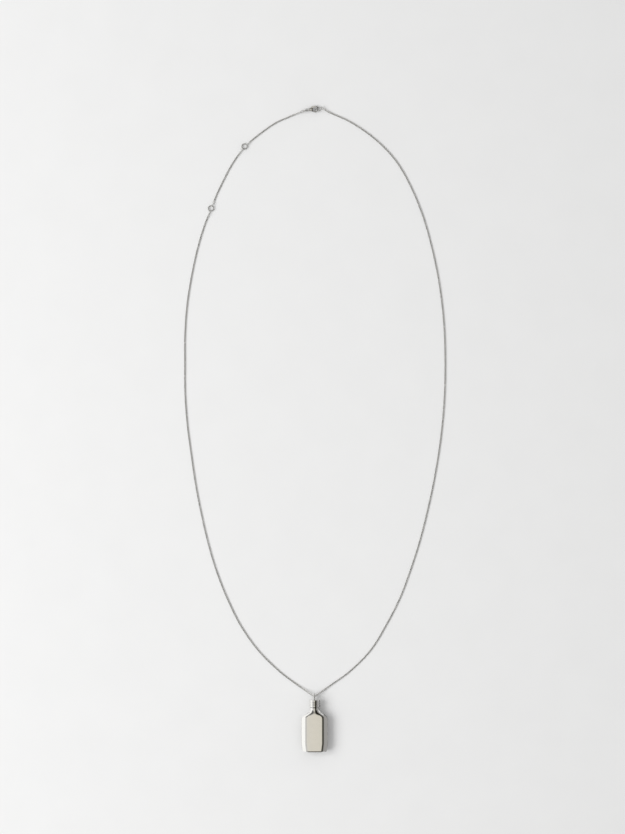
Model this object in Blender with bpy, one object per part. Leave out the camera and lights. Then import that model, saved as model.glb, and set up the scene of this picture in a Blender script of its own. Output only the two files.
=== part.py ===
"""Pendant necklace: a fine chain with two length-adjusting rings, a lobster clasp and a flask-shaped pendant.

The necklace lies flat on the plane z = 0 with the pendant face up. The origin is the middle of the
pendant's flat back, +X runs to the right, +Y from the pendant towards the clasp, and +Z up.
Every dimension below is in millimetres, and MM turns it into metres.
"""

import math

import bmesh
import bpy
from mathutils import Matrix, Vector

MM = 0.001

# Gaps between pieces that touch on the real object
SOLDER_GAP = 0.03
RUNNING_GAP = 0.05

# Chain
CHAIN_DIAMETER = 1.3
CHAIN_HEIGHT = 0.67
TUBE_READS_PER_SPAN = 2

# The link at each end of a chain run, which goes through a ring
LINK_WIRE = 0.4
LINK_LENGTH = 2.5
LINK_WIDTH = 1.92
LINK_TILT = math.radians(15)
LINK_TO_TUBE = 0.16

# Rings that adjust the length
ADJUSTER_RADIUS = 1.82
ADJUSTER_WIRE = 0.7
ADJUSTER_HEIGHT = 0.97
ADJUSTER_1 = Vector((-48.3, 404.8, ADJUSTER_HEIGHT))
ADJUSTER_2 = Vector((-71.4, 362.1, ADJUSTER_HEIGHT))

# Lobster clasp; its outline is drawn round the centre of the claw's opening, along the clasp's length
CLAW_CENTRE = Vector((0.4, 430.4, 1.42))
CLASP_TURN = Matrix.Rotation(math.radians(6), 3, "Z")
CLAW_INNER = 1.45
CLAW_OUTER = 2.2
CLAW_NOSE_OUTER = 2.4
CLAW_THICKNESS = 1.3
SHANK_THICKNESS = 1.9
EYE_THICKNESS = 0.9
EYE_X = -5.65
EYE_OUTER = 1.05
EYE_HOLE = 0.62
PIVOT = (-2.9, 0.55)
RIVET_RADIUS = 0.25
LEVER_THICKNESS = 0.8
SLOT_THICKNESS = 1.0
SPRING_TURNS = 5

# Rings of the clasp: a ring's plane holds the direction BEARING in plan and leans by LEAN
CLASP_RING_WIRE = 0.54
END_RING_RADIUS = 2.2
END_RING_OFFSET = Vector((2.324, -0.242, 0.541))
END_RING_BEARING = math.radians(14.4)
END_RING_LEAN = math.radians(-48.8)
JUMP_RING_RADIUS = 1.5
JUMP_RING_OFFSET = Vector((EYE_X - 1.325, -0.292, 0.368))
JUMP_RING_BEARING = math.radians(6.8)
JUMP_RING_LEAN = math.radians(-81.3)

# Flask
FLASK_DEPTH = 8.2
AXIS_HEIGHT = FLASK_DEPTH / 2
FLASK_BOTTOM = -11.9
WALL = 0.8
SIDES = 32
NECK_RADIUS = 3.5
BORE_RADIUS = 1.8
NECK_TOP = 22.45
BASE_THICKNESS = 0.8

# Screw thread of the neck and of the cap
THREAD_PITCH = 1.1
THREAD_CORE = 2.85
THREAD_HEIGHT = 0.3
THREAD_CLEARANCE = 0.12
THREAD_START = 19.1
THREAD_END = 22.1
THREAD_FADE = 0.5
THREAD_STEPS_PER_TURN = 8

# Cap, seal and bail
CAP_RADIUS = 3.95
CAP_BOTTOM = 18.75
CAP_TOP = 23.9
CAP_INNER_TOP = 23.1
GROOVES = (20.4, 21.8)
GROOVE_WIDTH = 0.5
GROOVE_DEPTH = 0.28
SEAL_THICKNESS = 0.45
SEAL_RADIUS = 2.8
BAIL_RADIUS = 1.83
BAIL_WIRE = 0.74
BAIL_CENTRE = Vector((0, CAP_TOP + SOLDER_GAP + BAIL_RADIUS + BAIL_WIRE / 2, AXIS_HEIGHT))

# The chain's middle where the pendant hangs on it, inside the bail
CHAIN_IN_BAIL = BAIL_CENTRE + Vector((0, 0.1, -0.6))

Z = CHAIN_HEIGHT
MAIN_ROUTE = [
    (-76.0, 349.9, Z), (-80.1, 336.4, Z), (-84.6, 316.3, Z), (-87.8, 295.8, Z), (-89.3, 275.2, Z),
    (-89.4, 254.5, Z), (-89.2, 233.8, Z), (-87.7, 213.2, Z), (-85.0, 192.6, Z), (-82.0, 172.2, Z),
    (-78.1, 151.9, Z), (-73.4, 131.7, Z), (-67.5, 111.9, Z), (-59.9, 92.6, Z), (-50.6, 74.1, Z),
    (-38.6, 57.2, Z), (-23.9, 42.7, Z), (-14.5, 35.5, Z), (-8.5, 31.3, 1.1), (-4.4, 28.6, 2.2),
    (-1.7, 26.9, 3.2), tuple(CHAIN_IN_BAIL), (1.7, 26.9, 3.2), (4.4, 28.7, 2.2),
    (8.5, 31.6, 1.1), (14.5, 35.7, Z), (24.3, 42.9, Z), (38.8, 57.7, Z), (49.7, 75.3, Z),
    (59.0, 93.7, Z), (66.3, 113.1, Z), (72.6, 132.8, Z), (77.7, 152.8, Z), (82.1, 173.1, Z),
    (85.6, 193.4, Z), (88.2, 214.1, Z), (89.7, 234.7, Z), (90.1, 255.3, Z), (89.6, 276.0, Z),
    (87.9, 296.7, Z), (84.8, 317.1, Z), (80.4, 337.3, Z), (74.6, 357.2, Z), (66.8, 376.4, Z),
    (56.6, 394.3, Z), (42.4, 409.4, Z), (25.5, 421.3, Z), (13.5, 426.9, Z), (9.6, 428.5, 1.2),
]
MIDDLE_ROUTE = [(-56.8, 392.6, Z), (-66.3, 374.1, Z)]
TOP_ROUTE = [(-12.6, 427.3, 1.15), (-17.5, 425.2, Z), (-27.2, 420.8, Z), (-40.5, 411.3, Z)]


def clear_scene():
    for old in list(bpy.data.objects):
        bpy.data.objects.remove(old)


def make_collection(name):
    made = bpy.data.collections.new(name)
    bpy.context.scene.collection.children.link(made)
    return made


def make_material(name, colour, roughness, metallic):
    made = bpy.data.materials.new(name)
    made.use_nodes = True
    shader = made.node_tree.nodes["Principled BSDF"]
    shader.inputs["Base Color"].default_value = (*colour, 1)
    shader.inputs["Roughness"].default_value = roughness
    shader.inputs["Metallic"].default_value = metallic
    made.diffuse_color = (*colour, 1)
    return made


def place(obj, material):
    """Move an object into the necklace's collection and give it its material."""
    for holder in list(obj.users_collection):
        holder.objects.unlink(obj)
    NECKLACE.objects.link(obj)
    obj.data.materials.clear()
    obj.data.materials.append(material)
    return obj


def make_silver(node):
    return make_material(f"{node}_silver", (0.83, 0.82, 0.80), 0.12, 1.0)


def mesh_object(name, bm, material, sharp_degrees=35):
    """A smooth-shaded object from a bmesh drawn in millimetres."""
    bmesh.ops.recalc_face_normals(bm, faces=bm.faces)
    bmesh.ops.scale(bm, vec=(MM, MM, MM), verts=bm.verts)
    mesh = bpy.data.meshes.new(name)
    bm.to_mesh(mesh)
    bm.free()
    mesh.shade_smooth()
    mesh.set_sharp_from_angle(angle=math.radians(sharp_degrees))
    return place(bpy.data.objects.new(name, mesh), material)


def loft(rings, joined=False):
    """A skin over rings of equal length: closed by a face at each end, or joined end to end."""
    bm = bmesh.new()
    rows = [[bm.verts.new(point) for point in ring] for ring in rings]
    pairs = list(zip(rows, rows[1:]))
    if joined:
        pairs.append((rows[-1], rows[0]))
    else:
        bm.faces.new(rows[0])
        bm.faces.new(list(reversed(rows[-1])))
    for lower, upper in pairs:
        for i in range(len(lower)):
            j = (i + 1) % len(lower)
            bm.faces.new((lower[i], lower[j], upper[j], upper[i]))
    return bm


def smooth_curve(points, reads_per_span):
    """Points read from a centripetal Catmull-Rom curve that goes through the given points."""
    knots = [Vector(p) for p in points]
    ends = [knots[0] * 2 - knots[1]] + knots + [knots[-1] * 2 - knots[-2]]
    read = []
    for span in zip(ends, ends[1:], ends[2:], ends[3:]):
        marks = [0.0]
        for start, finish in zip(span, span[1:]):
            marks.append(marks[-1] + (finish - start).length ** 0.5)
        for step in range(reads_per_span):
            mark = marks[1] + (marks[2] - marks[1]) * step / reads_per_span
            level = list(span)
            for reach in (1, 2):
                level = [
                    a.lerp(b, (mark - marks[k]) / (marks[k + reach] - marks[k]))
                    for k, (a, b) in enumerate(zip(level, level[1:]))
                ]
            read.append(level[0].lerp(level[1], (mark - marks[1]) / (marks[2] - marks[1])))
    return read + [knots[-1]]


def wire(name, points, diameter, material, closed=False, resolution=2):
    """A round wire or tube along points, as a curve object with a bevel depth."""
    curve = bpy.data.curves.new(name, "CURVE")
    curve.dimensions = "3D"
    curve.bevel_depth = diameter / 2 * MM
    curve.bevel_resolution = resolution
    curve.use_fill_caps = not closed
    spline = curve.splines.new("POLY")
    spline.points.add(len(points) - 1)
    for knot, point in zip(spline.points, points):
        knot.co = (*(Vector(point) * MM), 1)
    spline.use_cyclic_u = closed
    spline.use_smooth = True
    return place(bpy.data.objects.new(name, curve), material)


def ring(name, centre, rotation, radius, wire_diameter):
    """A closed ring of round wire whose plane is the rotated XY plane."""
    bpy.ops.mesh.primitive_torus_add(
        major_segments=28,
        minor_segments=8,
        major_radius=radius * MM,
        minor_radius=wire_diameter / 2 * MM,
        location=centre * MM,
    )
    made = bpy.context.object
    made.name = name
    made.rotation_euler = rotation.to_euler()
    made.data.shade_smooth()
    return place(made, make_silver(name))


def leaning(bearing, lean):
    """Axes of a ring leaning beside the clasp: along its plane in plan, up its plane, and its normal."""
    along = CLASP_TURN @ Vector((math.cos(bearing), math.sin(bearing), 0))
    across = CLASP_TURN @ Vector((-math.sin(bearing), math.cos(bearing), 0))
    up = across * math.cos(lean) + Vector((0, 0, math.sin(lean)))
    return along, up, along.cross(up)


def axes_matrix(x_axis, y_axis, z_axis):
    return Matrix((x_axis, y_axis, z_axis)).transposed()


def end_link(name, wire_point, tangent, outward, ring_wire):
    """The oval link round a ring's wire: it leaves wire_point along outward, across tangent."""
    along = (outward - tangent * outward.dot(tangent)).normalized()
    across = tangent.cross(along)
    half_length = (LINK_LENGTH - LINK_WIRE) / 2
    radius = (LINK_WIDTH - LINK_WIRE) / 2
    back = (ring_wire + LINK_WIRE) / 2 + RUNNING_GAP
    centre = wire_point + along * (half_length - back)
    points = []
    for turn in range(24):
        angle = turn / 24 * math.tau
        straight = math.copysign(half_length - radius, math.cos(angle))
        offset = along * (straight + radius * math.cos(angle)) + across * radius * math.sin(angle)
        points.append(centre + offset)
    wire(name, points, LINK_WIRE, make_silver(name), closed=True, resolution=1)
    return centre + along * (half_length + LINK_WIRE / 2 + LINK_TO_TUBE)


def flat_link(name, ring_centre, towards):
    """An end link on a ring that lies flat, in the direction of the chain."""
    outward = (Vector(towards) - ring_centre) * Vector((1, 1, 0))
    outward.normalize()
    tangent = Vector((0, 0, 1)).cross(outward)
    tangent.rotate(Matrix.Rotation(LINK_TILT, 3, outward))
    wire_point = ring_centre + outward * ADJUSTER_RADIUS
    tube_end = end_link(name, wire_point, tangent, outward, ADJUSTER_WIRE)
    return Vector((tube_end.x, tube_end.y, CHAIN_HEIGHT))


def make_adjusters():
    for name, centre in (("adjuster_ring_1", ADJUSTER_1), ("adjuster_ring_2", ADJUSTER_2)):
        ring(name, centre, Matrix.Identity(3), ADJUSTER_RADIUS, ADJUSTER_WIRE)


def make_clasp_rings():
    """The jump ring and the end ring; returns where each holds its chain's end link."""
    holds = []
    rings = (
        ("clasp_jump_ring", JUMP_RING_OFFSET, JUMP_RING_BEARING, JUMP_RING_LEAN, JUMP_RING_RADIUS, -1),
        ("end_ring", END_RING_OFFSET, END_RING_BEARING, END_RING_LEAN, END_RING_RADIUS, 1),
    )
    for name, offset, bearing, lean, radius, side in rings:
        centre = CLAW_CENTRE + CLASP_TURN @ offset
        along, up, normal = leaning(bearing, lean)
        ring(name, centre, axes_matrix(along, up, normal), radius, CLASP_RING_WIRE)
        holds.append((centre + along * radius * side, up))
    return holds


def leaning_link(name, hold, towards):
    """An end link on a ring beside the clasp, in the direction of the chain."""
    wire_point, tangent = hold
    return end_link(name, wire_point, tangent, Vector(towards) - wire_point, CLASP_RING_WIRE)


def make_run(name, route):
    """One run of chain, which nowhere sinks below the surface it lies on."""
    points = smooth_curve(route, TUBE_READS_PER_SPAN)
    for point in points:
        point.z = max(point.z, CHAIN_HEIGHT)
    wire(name, points, CHAIN_DIAMETER, make_silver(name))


def make_chain(jump_hold, end_hold):
    """Three runs of chain, each between two end links."""
    main_left = flat_link("end_link_main_left", ADJUSTER_2, MAIN_ROUTE[1])
    main_right = leaning_link("end_link_main_right", end_hold, MAIN_ROUTE[-1])
    middle_upper = flat_link("end_link_middle_upper", ADJUSTER_1, MIDDLE_ROUTE[0])
    middle_lower = flat_link("end_link_middle_lower", ADJUSTER_2, MIDDLE_ROUTE[-1])
    top_clasp = leaning_link("end_link_top_clasp", jump_hold, TOP_ROUTE[0])
    top_lower = flat_link("end_link_top_lower", ADJUSTER_1, TOP_ROUTE[-1])
    make_run("chain_main", [main_left, *MAIN_ROUTE, main_right])
    make_run("chain_middle", [middle_upper, *MIDDLE_ROUTE, middle_lower])
    make_run("chain_top", [top_clasp, *TOP_ROUTE, top_lower])


def flask_section(y, width, panel, depth, side, roundness=0.0):
    """One ring of the flask: an eight-sided section with eased corners, blended into the round neck."""
    ease = 0.22
    slope = Vector((width - panel, side - depth)).normalized()
    quarter = [
        (panel * 0.45, depth),
        (panel - ease, depth),
        (panel + slope.x * ease, depth + slope.y * ease),
        ((panel + width) / 2, (depth + side) / 2),
        (width - slope.x * ease, side - slope.y * ease),
        (width, side - ease),
        (width, side * 0.55),
        (width, side * 0.18),
    ]
    points = []
    for turn in range(SIDES):
        index = turn % 16
        x, z = quarter[index] if index < 8 else quarter[15 - index]
        x_sign = 1 if turn < 16 else -1
        z_sign = 1 if (turn < 8 or turn >= 24) else -1
        angle = (turn + 0.5) / SIDES * math.tau
        round_x = NECK_RADIUS * math.sin(angle)
        round_z = NECK_RADIUS * math.cos(angle)
        mixed_x = x * x_sign * (1 - roundness) + round_x * roundness
        mixed_z = z * z_sign * (1 - roundness) + round_z * roundness
        points.append(Vector((mixed_x, y, AXIS_HEIGHT + mixed_z)))
    return points


def round_section(y, radius_at):
    """One ring round the flask's axis; radius_at gives the radius at each turn from 0 to 1."""
    points = []
    for step in range(SIDES):
        turn = (step + 0.5) / SIDES
        radius = radius_at(turn)
        x = radius * math.sin(turn * math.tau)
        z = radius * math.cos(turn * math.tau)
        points.append(Vector((x, y, AXIS_HEIGHT + z)))
    return points


def disc(y, radius):
    return round_section(y, lambda turn: radius)


def thread_bump(y, turn):
    """Height of the right-handed thread from 0 to 1."""
    return 0.5 + 0.5 * math.cos(math.tau * (y / THREAD_PITCH - turn))


def threaded(y_from, y_to, core, height_at):
    """Rings of a threaded surface from y_from to y_to."""
    count = math.ceil(abs(y_to - y_from) / THREAD_PITCH * THREAD_STEPS_PER_TURN)
    rings = []
    for step in range(count + 1):
        y = y_from + (y_to - y_from) * step / count
        height = height_at(y)
        rings.append(round_section(y, lambda turn: core + height * thread_bump(y, turn)))
    return rings


def neck_thread_height(y):
    """The neck's thread fades in and out over its first and last half millimetre."""
    fade = min(y - THREAD_START, THREAD_END - y) / THREAD_FADE
    return THREAD_HEIGHT * min(max(fade, 0), 1)


def make_flask():
    outside = [
        flask_section(FLASK_BOTTOM, 7.95, 5.4, 3.75, 1.75),
        flask_section(FLASK_BOTTOM + 0.4, 8.3, 5.65, 4.1, 1.95),
        flask_section(-6.2, 9.05, 6.3, 4.1, 2.0),
        flask_section(10.8, 9.05, 6.3, 4.1, 2.0),
        flask_section(12.1, 8.35, 6.1, 4.1, 2.45),
        flask_section(13.2, 7.2, 5.05, 4.07, 2.8, 0.03),
        flask_section(14.2, 6.05, 4.0, 4.0, 2.8, 0.12),
        flask_section(15.2, 5.0, 3.0, 3.9, 2.65, 0.3),
        flask_section(16.2, 4.25, 2.0, 3.78, 2.4, 0.6),
        flask_section(17.1, 3.8, 1.4, 3.62, 2.0, 0.9),
        disc(17.8, NECK_RADIUS),
        disc(18.3, NECK_RADIUS),
        disc(18.42, NECK_RADIUS - 0.12),
        disc(18.42, THREAD_CORE + 0.15),
        disc(18.57, THREAD_CORE),
    ]
    neck = threaded(18.8, NECK_TOP - 0.15, THREAD_CORE, neck_thread_height)
    rim = [disc(NECK_TOP, THREAD_CORE - 0.15), disc(NECK_TOP, BORE_RADIUS)]
    inside = [
        disc(16.4, BORE_RADIUS),
        flask_section(14.6, 4.3, 1.9, 2.95, 1.4, 0.35),
        flask_section(12.6, 6.8, 4.3, 3.25, 1.6),
        flask_section(11.0, 8.2, 5.7, 3.3, 1.65),
        flask_section(-6.2, 8.2, 5.7, 3.3, 1.65),
        flask_section(FLASK_BOTTOM + BASE_THICKNESS + 0.1, 7.15, 4.9, 2.95, 1.4),
        flask_section(FLASK_BOTTOM, 7.15, 4.9, 2.95, 1.4),
    ]
    flask = loft(outside + neck + rim + inside, joined=True)
    mesh_object("flask_body", flask, make_silver("flask_body"), sharp_degrees=20)


def make_flask_base():
    gap = SOLDER_GAP
    outline = (7.15 - gap, 4.9 - gap, 2.95 - gap, 1.4 - gap)
    eased = tuple(size - 0.1 for size in outline)
    rings = [
        flask_section(FLASK_BOTTOM, *eased),
        flask_section(FLASK_BOTTOM + 0.1, *outline),
        flask_section(FLASK_BOTTOM + BASE_THICKNESS, *outline),
    ]
    mesh_object("flask_base", loft(rings), make_silver("flask_base"))


def make_cap():
    minor = THREAD_CORE + THREAD_CLEARANCE
    bore_top = THREAD_END + 0.2
    rings = [
        disc(CAP_INNER_TOP, minor),
        *threaded(bore_top, CAP_BOTTOM + 0.2, minor, lambda y: THREAD_HEIGHT),
        disc(CAP_BOTTOM, minor + THREAD_HEIGHT + 0.15),
        disc(CAP_BOTTOM, CAP_RADIUS - 0.15),
        disc(CAP_BOTTOM + 0.15, CAP_RADIUS),
    ]
    for groove in GROOVES:
        rings += [
            disc(groove - GROOVE_WIDTH / 2, CAP_RADIUS),
            disc(groove - GROOVE_WIDTH / 4, CAP_RADIUS - GROOVE_DEPTH),
            disc(groove + GROOVE_WIDTH / 4, CAP_RADIUS - GROOVE_DEPTH),
            disc(groove + GROOVE_WIDTH / 2, CAP_RADIUS),
        ]
    rings += [
        disc(CAP_TOP - 0.4, CAP_RADIUS),
        disc(CAP_TOP - 0.12, CAP_RADIUS - 0.12),
        disc(CAP_TOP, CAP_RADIUS - 0.4),
    ]
    mesh_object("cap_shell", loft(rings), make_silver("cap_shell"), sharp_degrees=30)


def make_seal():
    """The loose sealing disc between the flask's rim and the inside of the cap."""
    bottom = NECK_TOP + 0.1
    rings = [
        disc(bottom, SEAL_RADIUS - 0.08),
        disc(bottom + 0.08, SEAL_RADIUS),
        disc(bottom + SEAL_THICKNESS - 0.08, SEAL_RADIUS),
        disc(bottom + SEAL_THICKNESS, SEAL_RADIUS - 0.08),
    ]
    rubber = make_material("cap_seal_rubber", (0.75, 0.74, 0.70), 0.6, 0.0)
    mesh_object("cap_seal", loft(rings), rubber)


def make_bail():
    plane = axes_matrix(Vector((0, 1, 0)), Vector((0, 0, 1)), Vector((1, 0, 0)))
    ring("bail_ring", BAIL_CENTRE, plane, BAIL_RADIUS, BAIL_WIRE)


def arc(centre_x, centre_y, radius_at, from_degrees, to_degrees, steps):
    points = []
    for step in range(steps + 1):
        degrees = from_degrees + (to_degrees - from_degrees) * step / steps
        angle = math.radians(degrees)
        radius = radius_at(degrees) if callable(radius_at) else radius_at
        points.append((centre_x + radius * math.cos(angle), centre_y + radius * math.sin(angle)))
    return points


def claw_outer(degrees):
    """The claw's outer radius, which grows towards its nose."""
    rise = min(max((degrees + 10) / 55, 0), 1)
    return CLAW_OUTER + (CLAW_NOSE_OUTER - CLAW_OUTER) * rise * rise * (3 - 2 * rise)


def plate(outline, thickness, bevel=0.0):
    """A flat outline, drawn round the claw's centre and extruded evenly to both sides."""
    bm = bmesh.new()
    face = bm.faces.new([bm.verts.new((x, y, -thickness / 2)) for x, y in outline])
    made = bmesh.ops.extrude_face_region(bm, geom=[face])
    raised = [item for item in made["geom"] if isinstance(item, bmesh.types.BMVert)]
    bmesh.ops.translate(bm, verts=raised, vec=(0, 0, thickness))
    if bevel:
        flat = [edge for edge in bm.edges if abs(edge.verts[0].co.z - edge.verts[1].co.z) < 1e-6]
        bmesh.ops.bevel(bm, geom=flat, offset=bevel, segments=1, affect="EDGES")
    return bm


def clasp_piece(name, bm, material):
    made = mesh_object(name, bm, material)
    made.location = CLAW_CENTRE * MM
    made.rotation_euler = CLASP_TURN.to_euler()
    return made


def cylinder(name, x, y, radius, length, along_x=False):
    """A round cutter or pin through the clasp at x, y from the claw's centre."""
    bm = bmesh.new()
    bmesh.ops.create_cone(
        bm, cap_ends=True, segments=20, radius1=radius, radius2=radius, depth=length
    )
    if along_x:
        bmesh.ops.rotate(bm, verts=bm.verts, matrix=Matrix.Rotation(math.pi / 2, 3, "Y"))
    bmesh.ops.translate(bm, verts=bm.verts, vec=(x, y, 0))
    return clasp_piece(name, bm, make_silver(name))


def box(name, low, high):
    bm = bmesh.new()
    bmesh.ops.create_cube(bm, size=1)
    low, high = Vector(low), Vector(high)
    bmesh.ops.scale(bm, vec=high - low, verts=bm.verts)
    bmesh.ops.translate(bm, vec=(low + high) / 2, verts=bm.verts)
    return clasp_piece(name, bm, make_silver(name))


def cut(target, cutters):
    for cutter in cutters:
        boolean = target.modifiers.new(f"cut_{cutter.name}", "BOOLEAN")
        boolean.operation = "DIFFERENCE"
        boolean.solver = "EXACT"
        boolean.object = cutter
        cutter.hide_render = True
        cutter.display_type = "WIRE"
        NECKLACE.objects.unlink(cutter)
        CUTTERS.objects.link(cutter)


def make_clasp_body():
    eye_arc = arc(EYE_X, 0, EYE_OUTER, 50, 310, 12)
    outline = [
        (0.85, 1.66),
        (1.12, 1.47),
        (1.36, 1.2),
        *arc(0, 0, CLAW_INNER, 21.4, -210, 20),
        (-1.75, 1.4),
        *arc(*PIVOT, 1.0, 65, 130, 4),
        (-4.5, 0.85),
        *eye_arc,
        (-4.5, -0.85),
        (-3.0, -1.2),
        *arc(0, 0, claw_outer, -122, 71, 22),
    ]
    body = clasp_piece("clasp_body", plate(outline, SHANK_THICKNESS, 0.2), make_silver("clasp_body"))
    half_claw = CLAW_THICKNESS / 2
    half_eye = EYE_THICKNESS / 2
    half_slot = SLOT_THICKNESS / 2
    pivot_x, pivot_y = PIVOT
    cutters = [
        box("cut_claw_top", (-0.95, -3, half_claw), (3, 3, 2)),
        box("cut_claw_bottom", (-0.95, -3, -2), (3, 3, -half_claw)),
        box("cut_eye_top", (-7.5, -2, half_eye), (-4.75, 2, 2)),
        box("cut_eye_bottom", (-7.5, -2, -2), (-4.75, 2, -half_eye)),
        cylinder("cut_eye_hole", EYE_X, 0, EYE_HOLE, 4),
        box("cut_slot", (-4.0, -0.25, -half_slot), (-1.0, 3, half_slot)),
        cylinder("cut_rivet_hole", pivot_x, pivot_y, RIVET_RADIUS + 0.02, 4),
        cylinder("cut_spring_pocket", -4.2, 0.12, 0.3, 1.1, along_x=True),
    ]
    cut(body, cutters)


def make_clasp_lever():
    """The gate of the clasp, with its thumb nub, its hub on the rivet and a heel for the spring."""
    outline = [
        *arc(0, 0, 1.5, 42, 140, 8),
        *arc(*PIVOT, 0.62, 10, -90, 6),
        (-3.5, -0.07),
        (-3.5, 0.6),
        (-3.38, 0.95),
        (-2.75, 1.42),
        (-2.35, 1.75),
        (-2.1, 2.35),
        (-1.75, 2.4),
        *arc(0, 0, 2.25, 130, 76, 6),
        (0.66, 1.54),
        (0.98, 1.35),
        (1.19, 1.08),
    ]
    lever = clasp_piece(
        "clasp_lever", plate(outline, LEVER_THICKNESS, 0.05), make_silver("clasp_lever")
    )
    cut(lever, [cylinder("cut_lever_hole", *PIVOT, RIVET_RADIUS + RUNNING_GAP, 4)])


def make_clasp_spring():
    """A small compression spring in the shank, which closes the lever."""
    start, finish, radius = -4.64, -3.61, 0.19
    points = []
    steps = SPRING_TURNS * 8
    for step in range(steps + 1):
        angle = step / 8 * math.tau
        x = start + (finish - start) * step / steps
        y = 0.12 + radius * math.cos(angle)
        z = radius * math.sin(angle)
        points.append(CLAW_CENTRE + CLASP_TURN @ Vector((x, y, z)))
    steel = make_material("clasp_spring_steel", (0.6, 0.6, 0.6), 0.3, 1.0)
    wire("clasp_spring", points, 0.12, steel, resolution=0)


def make_clasp():
    make_clasp_body()
    make_clasp_lever()
    cylinder("clasp_rivet", *PIVOT, RIVET_RADIUS, SHANK_THICKNESS + 0.04)
    make_clasp_spring()


clear_scene()
NECKLACE = make_collection("pendant_necklace")
CUTTERS = make_collection("cutters")
make_flask()
make_flask_base()
make_cap()
make_seal()
make_bail()
make_clasp()
make_adjusters()
make_chain(*make_clasp_rings())
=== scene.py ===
"""The looks of the pendant necklace: real chain links, polished silver, and the studio it lies in.

Lengths are millimetres in the shared frame, except those of the board and the light, in metres.
"""

import itertools
import math
import random

import bmesh
import bpy
import numpy as np
from mathutils import Matrix, Vector


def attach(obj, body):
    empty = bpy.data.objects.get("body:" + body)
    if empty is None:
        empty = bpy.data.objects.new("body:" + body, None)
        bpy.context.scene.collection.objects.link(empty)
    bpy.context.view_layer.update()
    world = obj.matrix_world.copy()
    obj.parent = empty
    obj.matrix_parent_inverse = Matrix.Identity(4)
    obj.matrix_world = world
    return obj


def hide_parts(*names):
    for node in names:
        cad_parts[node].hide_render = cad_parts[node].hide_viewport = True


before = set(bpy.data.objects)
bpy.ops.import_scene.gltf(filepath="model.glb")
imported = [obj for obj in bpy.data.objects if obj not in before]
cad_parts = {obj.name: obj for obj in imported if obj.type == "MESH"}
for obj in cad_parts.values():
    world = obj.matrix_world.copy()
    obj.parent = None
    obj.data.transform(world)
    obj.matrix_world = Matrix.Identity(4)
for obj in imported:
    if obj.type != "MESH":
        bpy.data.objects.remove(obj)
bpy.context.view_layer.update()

MM = 0.001
SCENE = bpy.context.scene
random.seed(11)

# What the camera frames: the middle of the view and its height
VIEW_MIDDLE = (-1.4, 218.3)
VIEW_HEIGHT = 575.2
CAMERA_DISTANCE = 1900.0
ROOM_LIGHT = 0.62

# The share of the CAD's wire that bare wire fills, and how a ring's join differs from it
WIRE_SHARE = 0.985
CUT_OPENING = 0.012
CUT_PINCH = 0.025
SOLDER_BEAD = 0.035
SOLDER_PINCH = 0.012
JOIN_REACH = 0.28
PINCH_PLACE = 0.42
PINCH_REACH = 0.14
RING_UNEVENNESS = 0.004

# Chain
LINK_WIRE = 0.36
LINK_LENGTH = 1.62
LINK_PITCH = 0.9
LINK_RISE = 0.40
LINK_REACH = 0.9
LINK_WIDTH = 1.34
LINK_WAIST = 0.10
LINK_TWIST = math.radians(42)
LINK_ROLL_PLAY = 6
LINK_YAW_PLAY = 2.5
ROLL_WAVE = math.radians(4)
ROLL_WAVE_PER_LINK = 0.13
STANDING_ROLL = math.radians(62)
STANDING_LINKS = 1.6
TUBE_RISE = 0.67

END_LINK_WIRE = 0.4
END_LINK_LENGTH = 2.5
END_LINK_WIDTH = 1.92
END_LINK_TILT = math.radians(15)
END_LINK_SQUARENESS = 0.75
END_LINK_TO_RUN = 0.16
RING_GAP = 0.05

ADJUSTER_RADIUS = 1.82
ADJUSTER_WIRE = 0.7
ADJUSTER_HEIGHT = 0.97
ADJUSTER_1 = Vector((-48.3, 404.8, ADJUSTER_HEIGHT))
ADJUSTER_2 = Vector((-71.4, 362.1, ADJUSTER_HEIGHT))

CLAW_CENTRE = Vector((0.4, 430.4, 1.42))
CLASP_TURN = Matrix.Rotation(math.radians(6), 3, "Z")
CLASP_RING_WIRE = 0.54
END_RING = (Vector((2.324, -0.242, 0.541)), math.radians(14.4), math.radians(-48.8), 2.2)
JUMP_RING = (Vector((-6.975, -0.292, 0.368)), math.radians(6.8), math.radians(-81.3), 1.5)

# Pendant
AXIS_HEIGHT = 4.1
BAIL_RADIUS = 1.83
BAIL_WIRE = 0.74
BAIL_CENTRE = Vector((0, 26.13, AXIS_HEIGHT))
CHAIN_IN_BAIL = BAIL_CENTRE + Vector((0, 0.1, -0.6))
BAIL_FOOT = [
    # y, half width, half depth
    (23.86, 0.62, 1.2),
    (23.92, 0.56, 1.12),
    (23.97, 0.48, 1.0),
    (24.04, 0.4, 0.86),
    (24.14, 0.33, 0.7),
    (24.26, 0.28, 0.5),
]

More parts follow.
